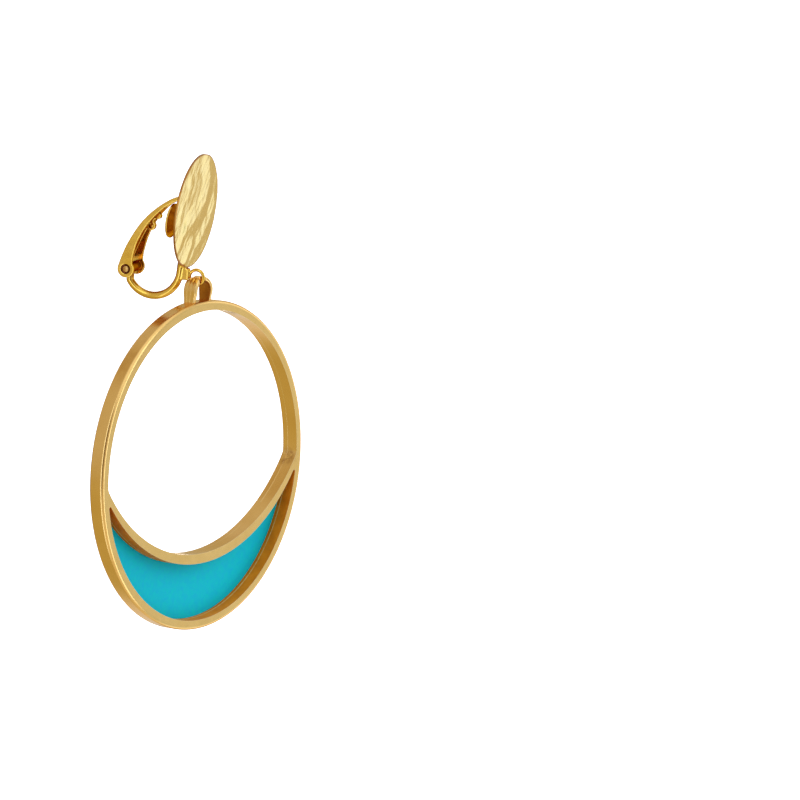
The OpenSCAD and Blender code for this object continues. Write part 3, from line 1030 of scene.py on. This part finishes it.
# %% Spread the legs, squeeze the top and free the neck
LEG_WIDEST = -1.6 * MM
LEG_SPREAD = 1.2
LEG_FORWARD = 0.12 * MM
LEG_REACH = 1.9 * MM
LOOP_PASS = -0.35 * MM
TOP_SQUEEZE = 0.36
choose("VERT", lambda point: abs(point.z - LEG_WIDEST) < 0.5 * MM)
bpy.ops.transform.resize(
    value=(1, LEG_SPREAD, 1), center_override=(0, 0, 0), use_proportional_edit=True,
    proportional_edit_falloff="SMOOTH", proportional_size=LEG_REACH)
bpy.ops.transform.translate(
    value=(0, -LEG_FORWARD, 0), use_proportional_edit=True,
    proportional_edit_falloff="SMOOTH", proportional_size=LEG_REACH)
choose("VERT", lambda point: abs(point.x - LOOP_PASS) < 0.4 * MM and point.z > -1 * MM)
bpy.ops.transform.resize(
    value=(1, TOP_SQUEEZE, 1), center_override=(0, 0, 0), use_proportional_edit=True,
    proportional_edit_falloff="SMOOTH", proportional_size=0.55 * MM)


def rubbing_edge(point):
    """The left shoulder's inner rear edge, which the clip's neck meets when the hoop swings back."""
    return -1.3 * MM < point.x < -0.9 * MM and point.y > 0.75 * MM and point.z > -1.1 * MM


print("points on the rubbing edge:", choose("VERT", rubbing_edge))
bpy.ops.transform.translate(
    value=(-0.25 * MM, -0.2 * MM, 0), use_proportional_edit=True,
    proportional_edit_falloff="SMOOTH", proportional_size=0.35 * MM)


def inside_arch(middle, normal):
    """On the strap's inner face, which looks at the middle of the arch."""
    level = max(middle.z - arch_height, 0)
    return math.hypot(middle.x, level) < arch_radius - 0.3 * STRAP


# The inside of the arch gets the darker, browner gold of painted shade.
bail.data.materials.append(inside_shade.material)
bail.active_material_index = 1
print("faces on the inside of the arch:", choose("FACE", inside_arch))
bpy.ops.object.material_slot_assign()
done()
bpy.ops.object.shade_smooth_by_angle(angle=math.radians(40))
print("the bail spans", [round(v / MM, 2) for v in bail.dimensions])
settle(bail, hang_place @ Matrix.Translation((BAIL_SLIDE, 0, 0)))
deliver(bail, "drop", "hoop_drop")

# %% [markdown]
# ## The clip's frame and lever
#
# The wire, pad, neck and loop are soldered together, and solder leaves soft fillets that are hard to
# draw edge by edge. So the construction is copied, remeshed in fine voxels and smoothed: corners
# melt by about a tenth of a millimetre, as polishing rounds them. More passes on the neck give the
# solder its blob. The lever is pressed from thin sheet, and the same treatment rounds its edges.

# %% Helpers for melting edges


def merged_copy(node, name, finish):
    """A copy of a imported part, its loose triangles joined."""
    piece = frame["nodes"][node].copy()
    piece.data = piece.data.copy()
    for key in list(piece.keys()):
        if key.startswith("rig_"):
            del piece[key]
    piece.name = name
    piece.parent = None
    piece.matrix_world = Matrix()
    piece.hide_render = False
    bpy.context.scene.collection.objects.link(piece)
    piece.data.materials.clear()
    piece.data.materials.append(finish.material)
    edit(piece)
    weld(0.0005 * MM)
    bpy.ops.mesh.customdata_custom_splitnormals_clear()
    done()
    return piece


def melt(piece, voxel, passes):
    """Remesh a closed piece finely and smooth it, so that its edges soften."""
    apply_modifier(piece, "REMESH", mode="VOXEL", voxel_size=voxel, use_smooth_shade=True)
    apply_modifier(piece, "SMOOTH", factor=0.5, iterations=passes)
    print(piece.name, "melted to", len(piece.data.polygons), "faces")


# %% Melt the frame and flow the solder
SOLDER_HIGH = 1.9 * MM
clip = merged_copy("clip_frame", "clip_wire", polish)
melt(clip, 0.075 * MM, 5)
solder = clip.vertex_groups.new(name="solder")
neck_from, neck_to = loop_middle.y + 1.0 * MM, leg_foot.y + 0.4 * MM
for vertex in clip.data.vertices:
    place = vertex.co
    if neck_from < place.y < neck_to and abs(place.z - loop_middle.z - 0.6 * MM) < SOLDER_HIGH:
        solder.add([vertex.index], 1, "REPLACE")
apply_modifier(clip, "SMOOTH", factor=0.5, iterations=25, vertex_group="solder")
deliver(clip, "clip", "clip_frame")

# %% Melt the lever
lever = merged_copy("clip_lever", "folded_lever", polish)
melt(lever, 0.06 * MM, 5)
deliver(lever, "lever", "clip_lever")

# %% [markdown]
# ## The hinge pin
#
# The pin is a rivet. Its two ends are hammered to small domed heads that sit in the lever's
# countersinks. A head is the end face, extruded and resized a few times. Each step is how far it
# rises, in mm, and how much of the face's width is left.

# %% Turn the pin and its heads
PIN_RADIUS = 0.5 * MM
SHANK = 2.42 * MM
HEAD_STEPS = ((0.04, 1.0), (0.03, 0.93), (0.025, 0.82), (0.02, 0.66), (0.012, 0.4))
bpy.ops.object.select_all(action="DESELECT")
bpy.ops.mesh.primitive_cylinder_add(
    vertices=64, radius=PIN_RADIUS, depth=2 * SHANK, location=hinge, rotation=(0, math.radians(90), 0))
pin = bpy.context.active_object
pin.name = "rivet"
pin.data.materials.append(rivet.material)
bpy.ops.object.transform_apply(location=True, rotation=True, scale=True)
edit(pin)
for side in (-1, 1):
    choose("FACE", lambda middle, normal: normal.x * side > 0.9)
    for rise, grow in HEAD_STEPS:
        bpy.ops.mesh.extrude_region_move(TRANSFORM_OT_translate={"value": (side * rise * MM, 0, 0)})
        bpy.ops.transform.resize(value=(1, grow, grow), center_override=hinge)
done()
bpy.ops.object.shade_smooth_by_angle(angle=math.radians(50))
deliver(pin, "clip", "hinge_pin")
